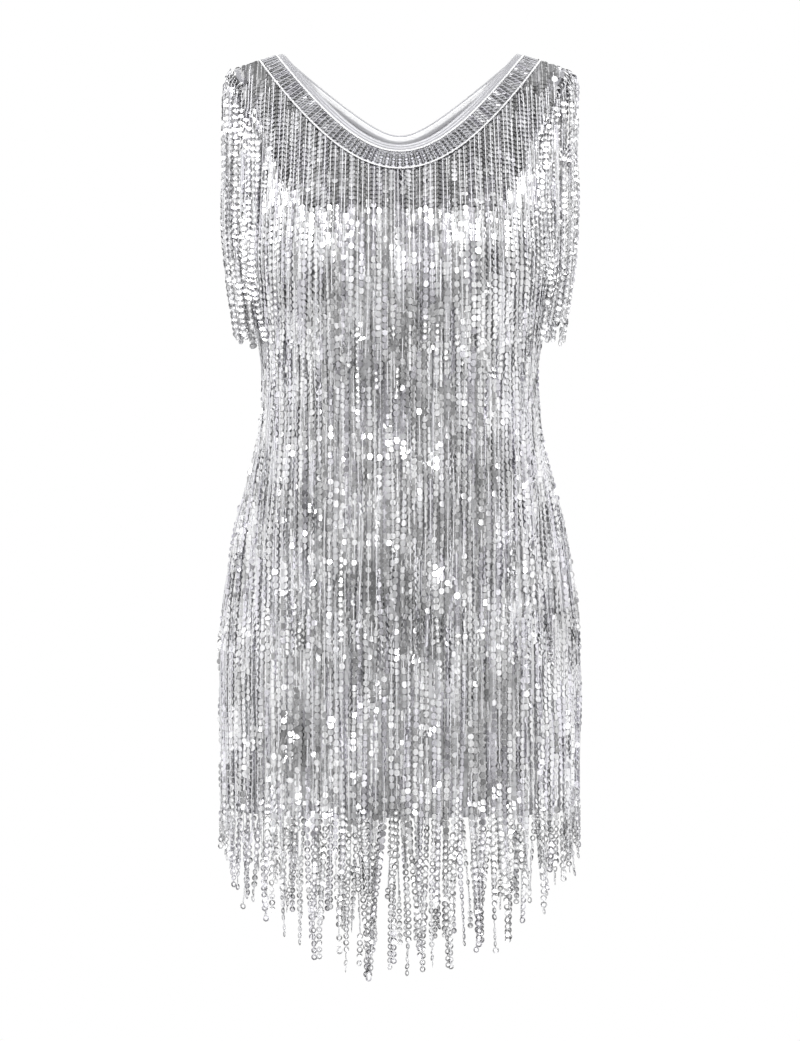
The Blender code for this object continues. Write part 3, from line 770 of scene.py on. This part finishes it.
def lie(path, out, half):
    """(directions that the strings face, share of their own twist that they keep) at places on the dress."""
    x, z = path[:, 0], path[:, 2]
    to_side = np.clip((np.abs(x) - CHEST_EDGE["rises_from"]) / CHEST_EDGE["rises_for"], 0, 1)
    edge = CHEST_EDGE["middle"] + CHEST_EDGE["rise"] * to_side**1.5
    edge = edge + 2 * MM * np.sin(x * 310 + 2) * np.sin(x * 83) + random.normal(0, 1.6 * MM)
    soft = (1.0 + 4.0 * np.clip((np.abs(x) - 0.075) / 0.05, 0, 1)) * MM
    chest = np.clip((z - edge + random.normal(0, 1, len(x)) * soft) / MM, 0, 1)
    bust = np.clip((z - edge + BUST_BAND["width"]) / BUST_BAND["fade"], 0, 1)
    up = FACES_UP["all"] + FACES_UP["bust"] * bust + FACES_UP["chest"] * chest
    up = up + np.degrees(np.arcsin(np.minimum(out[:, 2], 0))) * 0.75 * (1 - bust)
    turn = np.zeros(len(x))
    keep = np.ones(len(x))
    ragged = 1 + 0.25 * np.sin(x * 260) + 0.15 * np.sin(x * 610 + 1) + random.normal(0, 0.32)
    caught = by_runs(len(x), 1, 4) < 0.4 - 0.52 * bust + random.normal(0, 0.35)
    for centre_x, centre_z, half_width, half_height, patch_up, patch_turn, calm in LIES[half]:
        away = ((x - centre_x) / half_width) ** 4 + ((z - centre_z) / (half_height * ragged)) ** 4
        share = np.exp(-away) * (1 - chest) * caught
        up = up + (patch_up - up) * share
        turn = turn + (patch_turn - turn) * share
        keep = keep * (1 - calm * share)
    for centre_x, centre_z, size in CLUMPS[half]:
        clumped = np.hypot(x - centre_x, (z - centre_z) * 0.8) < size * random.uniform(0.5, 1.2, len(x))
        up = np.where(clumped, FACES_UP["clump"], up)
    slope = (fold_depth(x + MM, z, half) - fold_depth(x - MM, z, half)) / (2 * MM)
    turn = np.radians(turn) * -half - np.arctan(slope) * half
    flat = unit(out * (1, 1, 0) + np.array((0, half, 0)) * 0.5 * chest[:, None])
    flat = rotated(flat, np.stack((-flat[:, 1], flat[:, 0], np.zeros(len(x))), -1), turn)
    return rotated(flat, np.array((0, 0, 1)), np.radians(up)), keep


def patches(path):
    """Smooth noise over the dress, the same for all strings."""
    x, z = path[:, 0], path[:, 2]
    return np.sin(x * 91 + 1) * np.sin(z * 73) + np.sin(x * 39) * np.sin(z * 47 + 2)


def hang(strings, points, out, half, rise, loose, bright, spaced_from, cupped_from):
    """One string of sequins along points on the cloth. rise and loose are (at its top, at its end), and the
    last two are the lengths from which its sequins lie edge to edge and are cups."""
    path, places = even_spaced(points, pitches(spaced_from))
    count = len(path)
    if count < 4:
        return
    out = unit(at_places(out, places))
    share = np.linspace(0, 1, count)
    across = np.cross(out, unit(np.gradient(path, axis=0)))
    freedom = loose[0] + (loose[1] - loose[0]) * share
    away = rise[0] + (rise[1] - rise[0]) * share**1.5 - fold_depth(path[:, 0], path[:, 2], half)
    away += np.abs(drift(count, 0.12)) * 0.7 * MM * freedom
    swing = drift(count, 0.22) * (0.15 + 1.9 * share * freedom)
    sway = (swing + random.normal(0, 1.6) * share * freedom) * MM
    faces, keep = lie(path, out, half)
    length = lengths_along(path)
    path = path + out * away[:, None] + across * sway[:, None]
    x, z = path[:, 0], path[:, 2]
    twist = turns(count, float(np.mean(freedom))) * (0.5 + share if rise[1] > rise[0] else 1.0) * keep
    tilt = random.normal(0, 1, count) * (0.02 + 0.13 * freedom) * keep
    cupped = (length > cupped_from) & ((z < -HEM_EDGE + 20 * MM) | (by_runs(count, 1, 7) > 0.5))
    below = z < CHEST_EDGE["middle"] - 0.03
    # Painted rim shade: how dark the rims are painted, less towards the sides, and set apart on the chest and
    # in the fringe.
    edge = PAINTED_RIM_SHADE["body"] + PAINTED_RIM_SHADE["patches"] * patches(path) + PAINTED_RIM_SHADE["runs"] * by_runs(count, 1, 8)
    edge = edge * (1 - 0.6 * np.clip(np.abs(x) / 0.15, 0, 1) ** 2)
    edge = np.where(below, edge, PAINTED_RIM_SHADE["chest"])
    edge = np.where(z < -HEM_EDGE, PAINTED_RIM_SHADE["fringe"], np.clip(edge, 0.05, 1.0))
    under = (by_runs(count, 1, 6) > -0.2) & below | (z > -0.03 + random.normal(0, 0.012))
    # Below the chest the tone varies in smooth patches. Above it the tone is lowered, painted shade of the
    # chest, and near the shoulders' top it is lowered more, painted shade too.
    tone = tones(count, bright) + 0.22 * np.where(below, patches(path[:, ::-1] * 0.7), -0.8)
    tone -= 0.4 * np.clip((z + 0.06) / 0.03, 0, 1)
    strings.add(path, faces, twist, tilt, cupped, tone, looks(count), edge, under)


def gather_at(angle):
    """How far the loose fringe leans into tufts at an angle, for each length below the hem."""
    return 0.055 * math.sin(37 * angle + 1) + 0.04 * math.sin(23 * angle)


NEVER = -9.0  # a height below all strings


def tier(half, count, sewn_at, top, bottom, rise, loose, bright, free=lambda angle: NEVER, close=NEVER):
    """Strings side by side round one half. top, bottom and free give heights from a string's angle: of its
    two ends, and of the place below which its sequins are cups. They overlap above the height close. rise and
    loose are (at a string's top, at its end), and bright is the tone (in the middle, at the sides): the tone
    paler to the sides is painted light."""
    strings = Strings()
    for angle in girth_angles(count, max(sewn_at, BUST_DROP), half):
        heights = np.arange(top(angle), bottom(angle), -2 * MM)
        x, angles, drops = line_on_figure(angle, heights, sewn_at)
        held = np.minimum(drops, HEM_DROP)
        edge = np.where(held < UNDERARM_DROP, armhole_angle(held, half), QUARTER)
        over_arm = abs(angle) < OVER_ARM
        keep = (np.abs(angles) <= edge) | over_arm
        angles = np.copysign(np.minimum(np.abs(angles), edge), angles)
        out = outward(angles, held, half)
        points = surface(angles, held, half)
        points[:, 0] = x if over_arm else points[:, 0]
        points[:, 2] -= drops - held
        points[:, 0] += np.clip(drops - held, 0.0, 0.09) * gather_at(angle)
        for run in np.split(np.arange(len(heights)), np.where(np.diff(keep.astype(int)))[0] + 1):
            if keep[run[0]] and len(run) >= 8:
                start = heights[run[0]]
                # Painted light: the tone rises towards the sides.
                tone = bright[0] + (bright[1] - bright[0]) * math.sin(angle) ** 2
                lengths = start - close, start - free(angle)
                hang(strings, points[run], out[run], half, rise, loose, tone, *lengths)
    return strings


# The cloth of the front and the back.


def panel_rows(half, columns=40, skirt=64, upper=36, split=15):
    """(angle, drop) of a grid on one half's +X side: skirt rows, then rows up to the neck and armhole."""
    share = np.linspace(0, 1, columns + 1)
    rows = [(QUARTER * share, np.full(columns + 1, drop))
            for drop in np.linspace(HEM_EDGE, UNDERARM_DROP + 0.008, skirt)]
    neck_drop = float(drop_at(0.0, NECK_BOTTOM[half]))
    for step in range(upper + 1):
        outer_angle, outer_drop = armhole_place(math.pi * step / upper, half)
        if step <= split:
            angle, drop = 0.0, UNDERARM_DROP + (neck_drop - UNDERARM_DROP) * step / split
        else:
            x = NECK_HALF_WIDTH * (1 - (1 - (step - split) / (upper - split)) ** 1.5)
            drop = float(drop_at(x, neck_height(x, half)))
            angle = float(angle_at(x, drop))
        rows.append((angle + (outer_angle - angle) * share, drop + (outer_drop - drop) * share))
    return np.array(rows)


def cloth(half):
    """One half's cloth, a thin shell just inside the CAD's outer face, with its folds."""
    rows = panel_rows(half)
    drop = rows[:, 1]
    grids, girths = [], []
    for side in (1, -1):
        angle = rows[:, 0] * side
        points = surface(angle, drop, half)
        depth = CLOTH_DEPTH + fold_depth(points[..., 0], points[..., 2], half)
        points = points - outward(angle, drop, half) * depth[..., None]
        points[..., 1] = half * np.maximum(half * points[..., 1], 0.3 * MM)
        steps = np.linalg.norm(np.diff(points, axis=1), axis=-1)
        girth = np.concatenate((np.zeros((len(points), 1)), np.cumsum(steps, 1)), 1) * side
        flipped = side == -half
        grids.append(points[:, ::-1] if flipped else points)
        girths.append(girth[:, ::-1] if flipped else girth)
    points, girths = np.array(grids), np.array(girths)
    faces = grid_faces(*drop.shape)
    obj = mesh_object(
        f"cloth_{SIDES[half]}", points, (np.concatenate((faces, faces + drop.size)),), (CLOTH_LOOK,),
        attributes=(("girth", "POINT", girths), ("down", "POINT", points[..., 2])), smooth=True)
    obj.modifiers.new("Middle", "WELD").merge_threshold = 1e-5
    thicken(obj, -1.0)
    slotted(obj, "sequined_cloth", f"{SIDES[half]}_body")


# Strings on the front and the back.


def neck_top(half, width):
    """Height of a string's top from its angle: at the neckline's outer stitching, or at the shoulder seam."""
    edge_x, edge_z = neck_place(np.linspace(0, NECK_HALF_WIDTH, 200), np.full(200, width), half)

    def top(angle):
        to_side = abs(math.sin(angle))
        bust_x = float(column("half_width", BUST_DROP)) * to_side ** (2 / SQUARENESS)
        x = bust_x * (1 - LEAN_IN * BUST_DROP * (1 - to_side**6))
        if x < edge_x[-1]:
            return float(np.interp(x, edge_x, edge_z))
        return float(shoulder_height(x)) - 1 * MM

    return top


def hem_end(angle):
    """Height of a loose string's end from its angle: ragged, on an arc, and now and then short."""
    to_side = (abs(angle) / QUARTER) ** HEM_ARC_POWER
    shorter = abs(random.normal(0, 10 * MM))
    shorter += (random.random() < 0.28) * random.uniform(0, 80 * MM) * math.cos(angle) ** 2
    return shorter - 3 * MM - (HEM_ENDS["middle"] + (HEM_ENDS["side"] - HEM_ENDS["middle"]) * to_side)


def upper_free(angle):
    """Height below which a string of the upper tier is loose: from the armpit down at the sides, and near its
    end in the middle."""
    to_side = np.clip((abs(angle) / QUARTER - 0.42) / 0.2, 0, 1)
    return -0.300 + 0.185 * to_side + random.exponential(18 * MM)


def ragged(height, by, rise=0.0):
    """Heights from strings' angles: near one height, with a rise to the sides."""
    return lambda angle: height + rise * (abs(angle) / QUARTER) ** 1.5 + random.normal(0, by)


def tapering(height, length):
    """Heights from strings' angles: above one height by a length that varies much."""
    return lambda angle: height + random.exponential(length)


def dress_half(half):
    word = SIDES[half]
    cloth(half)
    chest_top = neck_top(half, BAND_END - 1 * MM)
    tiers = {
        "bed": tier(
            half, 84, sewn_at=0.0, top=chest_top, bottom=ragged(-HEM_EDGE + 3 * MM, 4 * MM),
            rise=(0.5 * MM, 0.5 * MM), loose=(0.06, 0.14), bright=(0.45, 0.95)),
        "upper": tier(
            half, 82, sewn_at=BUST_DROP, top=chest_top, bottom=ragged(-0.300, 15 * MM, rise=0.038),
            rise=(1.4 * MM, 2.6 * MM), loose=(0.02, 0.6), bright=(0.66, 1.0), free=upper_free,
            close=CHEST_EDGE["middle"]),
        "middle": tier(
            half, 82, sewn_at=0.235, top=ragged(-0.235, 4 * MM), bottom=ragged(-0.560, 14 * MM, rise=0.020),
            rise=(1.4 * MM, 2.4 * MM), loose=(0.6, 0.85), bright=(0.62, 0.98), free=tapering(-0.556, 30 * MM),
            close=0.0),
        "lower": tier(
            half, 78, sewn_at=0.515, top=ragged(-0.515, 4 * MM), bottom=hem_end, rise=(1.4 * MM, 2.0 * MM),
            loose=(0.65, 1.0), bright=(0.62, 1.0), free=ragged(-HEM_EDGE, 16 * MM), close=0.0),
    }
    for level, strings in tiers.items():
        nodes = (f"hem_fringe_{word}",) if level == "lower" else ()
        threads = "" if level == "bed" else f"threads_{word}_{level}"
        strings.make(f"sequins_{word}_{level}", threads, "sequin_strings", *nodes)


# The shoulders' fringe.


def clear_of_cloth(point, half, space):
    """The point, moved out where it would lie in the cloth or nearer to it than the space."""
    drop = float(drop_at(point[0], point[2]))
    angle = float(angle_at(point[0], drop))
    over_cloth = abs(point[0]) < column("half_width", drop)
    if over_cloth and drop < UNDERARM_DROP:
        over_cloth = abs(angle) <= armhole_angle(drop, half) + 0.15
    if over_cloth:
        out = outward(angle, drop, half)
        gap = (point[1] - surface(angle, drop, half)[1]) * out[1]
        point = point + np.array((out[0], out[1], 0.0)) * max(space - gap, 0.0)
    return point


def smooth(path, steps=8):
    """A curve through the path's points."""
    slopes = np.gradient(path, axis=0)
    t = np.arange(steps)[:, None] / steps
    made = [between(path[i], path[i + 1], slopes[i], slopes[i + 1], t) for i in range(len(path) - 1)]
    return np.concatenate((*made, path[-1:]))


def shoulder_string(side, share):
    """(path, direction that it faces) of one string from the armhole's edge round the shoulder."""
    half = FRONT if share < 0 else BACK
    edge, away, out = armhole_station(math.pi - abs(share) * SHOULDER_REACH, half)
    turn = share * HANG_TURN
    inner = random.choice((0.0, 0.0, 6 * MM))
    low = (HANG["x"] + (HANG["out"] - inner) * math.cos(turn), (HANG[half] - inner) * math.sin(turn), 0.0)
    level = unit(np.array((math.cos(turn) / HANG["out"], math.sin(turn) / HANG[half], 0.0)))
    across = np.array((-level[1], level[0], 0.0))
    lean = random.normal(0.0, 1.0, 2) * 1.2 * MM
    path = [edge + away * random.uniform(1, 4) * MM + out * 1.4 * MM, edge - away * 1.5 * MM + out * 1.2 * MM,
            edge - away * 6.5 * MM]
    last = path[-1]
    end = SHOULDER_END + abs(random.normal(0, 20 * MM)) - 4 * MM
    # Heights down the string, how near it has come to where it hangs free, and how far it leans into tufts.
    levels = (last[2] - 0.016, 0.7, 0), (-0.105, 0.9, 0), (-0.155, 1.0, 0), (-0.205, 1.0, 4), (end, 1.0, 12)
    for z, nearness, gather in levels:
        aside = lean[1] + gather * 0.35 * MM * math.sin(23 * share + 1)
        point = last + (low - last) * nearness + (level * (lean[0] - gather * MM) + across * aside) * nearness
        point[2] = z
        path.append(clear_of_cloth(point, half, 4 * MM))
    path, _ = even_spaced(smooth(np.array(path)), np.full(90, 5.6 * MM))
    path = path + across * (drift(len(path), 0.2) * np.linspace(0, 1.8, len(path)) * MM)[:, None]
    faces = unit(level + np.array((0.0, half * 0.8, 0.0)))
    lying = np.abs(unit(np.gradient(path, axis=0)) @ faces)[:, None]
    faces = unit(faces * (1 - lying) + np.array((0.0, 0.0, 1.0)) * lying)
    return path * (side, 1, 1), faces * (side, 1, 1)


def shoulder_fringe(side, word, count=34, shingled=5):
    strings = Strings()
    for share in (np.arange(count) + 0.5) / count * 2 - 1:
        path, faces = shoulder_string(side, share)
        here = len(path)
        tilt = random.normal(0, 0.14, here)
        down = np.minimum(np.arange(here) / 9, 1)
        # Painted shade: the tone is darker at the top of each string, near the armhole's edge.
        tone = tones(here, 1.0) * (0.3 + 0.7 * down)
        cupped = np.arange(here) >= shingled
        strings.add(path, faces, turns(here, 0.7), tilt, cupped, tone, looks(here), 0.38 * down)
    names = f"shoulder_sequins_{word}", f"shoulder_threads_{word}"
    strings.make(*names, "sequin_strings", f"shoulder_fringe_{word}")


def shoulder_seam(side, word):
    """Rows of sequins in front of, behind and along the shoulder's seam. They are toned dark, painted shade.
    """
    x = np.arange(NECK_HALF_WIDTH + BAND_END, SHOULDER_TIP_X, 4.0 * MM)
    here = len(x)
    path = np.stack((x * side, np.zeros_like(x), shoulder_height(x) + 1.2 * MM), -1)
    strings = Strings()
    for y, lift, lean in ((-2.6 * MM, -0.8 * MM, -1.04), (2.6 * MM, -0.8 * MM, 1.04), (0.0, 0.4 * MM, 0.0)):
        faces = np.tile(unit(np.array((0.0, lean, 1.0))), (here, 1))
        twist, tilt = random.normal(0, 0.2, here), random.normal(0, 0.2, here)
        # The low tone and the full rim shade are painted shade.
        strings.add(path + (0, y, lift), faces, twist, tilt, False, tones(here, 0.3), looks(here), 1.0)
    strings.make(f"shoulder_seam_{word}", f"shoulder_seam_thread_{word}", "sequin_strings")


# Neckline and armhole edges.

# Of the neck's and armholes' bindings: width outside the edge and height off the cloth's face, in mm.
FOLD_SECTION = (
    (5.5, 0.7), (5.1, 1.15), (4.6, 0.95), (3.0, 1.15), (1.4, 1.2), (0.4, 1.2), (-0.5, 0.8), (-1.0, 0.0),
    (-1.1, -1.2), (-1.0, -2.6), (-0.6, -3.9), (0.2, -4.6), (1.4, -4.9), (2.8, -5.0), (4.2, -5.0), (6.4, -4.4),
    (9.5, -2.9),
)
EDGE_SECTION = (
    (3.2, 0.5), (2.6, 1.0), (0.6, 1.2), (-0.8, 0.9), (-1.6, 0.0), (-1.8, -1.4), (-1.5, -3.2), (-0.4, -4.6),
    (1.6, -5.0), (5.0, -5.0),
)


def strip(name, rows, look, closed=False):
    """A thin band through rows of points, which knows how far each point lies across and along it."""
    rows = np.asarray(rows)
    across = np.cumsum(np.linalg.norm(np.diff(rows, axis=1, prepend=rows[:, :1]), axis=-1), 1)
    along = np.cumsum(np.linalg.norm(np.diff(rows, axis=0, prepend=rows[:1]), axis=-1), 0)
    obj = mesh_object(name, rows, (grid_faces(*rows.shape[:2], closed),), (look,), smooth=True,
                      attributes=(("across", "POINT", across), ("along", "POINT", along)))
    thicken(obj, 0.0)
    return obj


def neck_line(half, spacing):
    """x of places along the neckline, evenly spaced on it."""
    fine = np.linspace(-NECK_HALF_WIDTH, NECK_HALF_WIDTH, 3000)
    along = lengths_along(on_figure(fine, neck_height(fine, half), half))
    count = int(along[-1] / spacing)
    return np.interp(np.arange(count + 1) / count * along[-1], along, fine)


def neck_points(x, width, half, out):
    x, width, out = np.broadcast_arrays(x, width, out)
    points = on_figure(*neck_place(x, width, half), half, out)
    points[..., 1] = half * np.maximum(half * points[..., 1], 0.1 * MM)
    return points


def chain_stitch(name, half, width, out):
    """A line of chain stitch: two threads that wind past one another in loops."""
    x = neck_line(half, 0.45 * MM)
    line = neck_points(x, width, half, out)
    at = lengths_along(line) * 2 * math.pi / CHAIN_STITCH["length"]
    normal = unit(line - neck_points(x, width, half, out - 1 * MM))
    side = np.cross(normal, unit(np.gradient(line, axis=0)))
    paths = []
    for phase in (0.0, math.pi):
        wave = np.sin(at + phase)[:, None] * CHAIN_STITCH["wave"]
        rise = (np.cos(2 * at + phase) * CHAIN_STITCH["rise"])[:, None]
        paths.append(line + side * wave + normal * rise)
    slotted(tubes(name, paths, CHAIN_RADIUS, 5, CHAIN_LOOK), "binding")


def neck(half):
    word = SIDES[half]
    widths, outs = (np.array(v) * MM for v in zip(*FOLD_SECTION))
    rows = neck_points(neck_line(half, 2.5 * MM)[:, None], widths, half, outs)
    slotted(strip(f"neck_binding_{word}", rows, BINDING_LOOK), "binding", f"{word}_neck_binding")
    widths = np.linspace(BAND_START, BAND_END, 7)
    rows = neck_points(neck_line(half, 2.0 * MM)[:, None], widths, half, 0.8 * MM)
    slotted(strip(f"neck_band_{word}", rows, EDGE_LOOK), "flattened_strings", f"{word}_neck_band")
    strings = Strings()
    across = np.arange(BAND_START + 1.2 * MM, BAND_END - 0.6 * MM, 3.4 * MM)
    for middle in neck_line(half, 4.5 * MM)[1:-1]:
        path = neck_points(middle, across, half, 1.5 * MM)
        normal = path - neck_points(middle, across, half, 0.5 * MM)
        faces = unit(unit(normal * (1, 1, 0) + (0, half * 0.5 * MM, 0)) + (0, 0, math.tan(math.radians(44))))
        here = len(path)
        twist, tilt = random.normal(0, 0.05, here), random.normal(0, 0.03, here)
        strings.add(path, faces, twist, tilt, False, tones(here, 0.72, 0.08), looks(here))
    names = f"neck_band_sequins_{word}", f"neck_band_threads_{word}"
    strings.make(*names, "flattened_strings", look=BAND_THREAD_LOOK)
    chain_stitch(f"chain_stitch_inner_{word}", half, BAND_START - 0.2 * MM, 2.4 * MM)
    chain_stitch(f"chain_stitch_outer_{word}", half, BAND_END + 0.2 * MM, 2.8 * MM)


def armhole_binding(side, word):
    rows = []
    stations = np.linspace(0, math.pi, 61)
    for turn, half in [(t, FRONT) for t in stations] + [(t, BACK) for t in stations[-2:0:-1]]:
        edge, away, out = armhole_station(turn, half)
        rows.append([(edge + away * w * MM + out * o * MM) * (side, 1, 1) for w, o in EDGE_SECTION])
    slotted(strip(f"armhole_edge_{word}", rows, EDGE_LOOK, closed=True), "binding", f"armhole_binding_{word}")


# Camera, light and floor.

CAMERA = {"sensor": 36.0, "lens": 98.7, "place": (0.0, -2.7, -0.4337)}
FLOOR = {"height": -1.4, "half_width": 2.0}

# The studio that the sequins mirror. Brightness of the walls from the front or back (0) to the sides (1), and
# of the room from straight down (0) through level (0.5) to straight up (1).
WALLS = (
    (0.0, 0.33), (0.18, 0.33), (0.24, 1.5), (0.29, 1.5), (0.34, 0.33), (0.69, 0.42), (0.78, 1.15),
    (0.95, 1.1), (1.0, 1.0),
)
ROOM = (
    (0.0, 0.75), (0.36, 0.72), (0.42, 0.5), (0.66, 0.5), (0.74, 1.3), (0.895, 1.3), (0.92, 0.32), (1.0, 0.31),
)


def make_camera():
    data = bpy.data.cameras.new("camera")
    data.sensor_width = CAMERA["sensor"]
    data.lens = CAMERA["lens"]
    camera = bpy.data.objects.new("camera", data)
    camera.location = CAMERA["place"]
    camera.rotation_euler = (QUARTER, 0.0, 0.0)
    bpy.context.scene.collection.objects.link(camera)
    bpy.context.scene.camera = camera


def ramp(tree, value, stops):
    made = node(tree, "ValToRGB", {"Fac": value})
    made.color_ramp.interpolation = "EASE"
    elements = made.color_ramp.elements
    while len(elements) < len(stops):
        elements.new(0.5)
    for element, (at, brightness) in zip(elements, stops):
        element.position = at
        element.color = (brightness, brightness, brightness, 1.0)
    return made.outputs["Color"]


def make_world():
    """Bright panels on grey walls, a bright ring above them, a greyer ceiling and a white background."""
    world = bpy.data.worlds.new("studio")
    bpy.context.scene.world = world
    world.use_nodes = True
    tree = world.node_tree
    x, y, z = node(tree, "SeparateXYZ", {"Vector": place(tree, "Generated")}).outputs
    squares = plus(tree, times(tree, x, x), times(tree, y, y))
    flat = calculate(tree, "MAXIMUM", calculate(tree, "SQRT", squares), 1e-4)
    walls = ramp(tree, calculate(tree, "DIVIDE", calculate(tree, "ABSOLUTE", x), flat), WALLS)
    room = ramp(tree, spread(tree, z, 0.0, 1.0, start=-1.0), ROOM)
    off_level = spread(tree, calculate(tree, "ABSOLUTE", z), 0.0, 1.0, start=0.28, end=0.42)
    mirrored = tree.nodes["Background"]
    tree.links.new(blend(tree, off_level, walls, room), mirrored.inputs["Color"])
    shown = node(tree, "Background", {"Color": (1.0, 1.0, 1.0, 1.0)})
    seen = node(tree, "LightPath", {}).outputs["Is Camera Ray"]
    mix = node(tree, "MixShader", {0: seen, 1: mirrored.outputs[0], 2: shown.outputs[0]})
    tree.links.new(mix.outputs["Shader"], tree.nodes["World Output"].inputs["Surface"])


def area_light(name, at, aim, size, power):
    data = bpy.data.lights.new(name, "AREA")
    data.shape = "RECTANGLE"
    data.size, data.size_y = size, size
    data.energy = power
    light = bpy.data.objects.new(name, data)
    light.location = at
    light.rotation_euler = (Vector(aim) - Vector(at)).to_track_quat("-Z", "Y").to_euler()
    bpy.context.scene.collection.objects.link(light)


def make_floor():
    """A plain pale floor below the dress, with a faint mottle."""
    look, tree = material("floor", (0.86, 0.86, 0.86), 0.8, 0.0)
    feed(tree, "Base Color", blend(tree, noise(tree, 3.0, 6.0), (0.83, 0.83, 0.83), (0.89, 0.89, 0.89)))
    steps = np.linspace(-FLOOR["half_width"], FLOOR["half_width"], 9)
    x, y = np.meshgrid(steps, steps)
    points = np.stack((x, y, np.full_like(x, FLOOR["height"])), -1)
    floor = mesh_object("floor", points, (grid_faces(*x.shape),), (look,))
    floor.parent = None
    del floor["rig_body"]


make_camera()
make_world()
for k in range(4):
    around = (k + 0.5) * QUARTER
    corner = (3.0 * math.sin(around), -3.0 * math.cos(around), 2.2)
    area_light(f"softbox_{k}", corner, aim=(0, 0, -0.4), size=1.4, power=24)
area_light("neck_light", (0.0, -1.9, 1.15), aim=(0, 0.05, -0.06), size=0.4, power=65)
make_floor()
bpy.context.scene.view_settings.view_transform = "Standard"

for half in (FRONT, BACK):
    dress_half(half)
    neck(half)
for side, word in ((-1, "left"), (1, "right")):
    shoulder_fringe(side, word)
    shoulder_seam(side, word)
    armhole_binding(side, word)
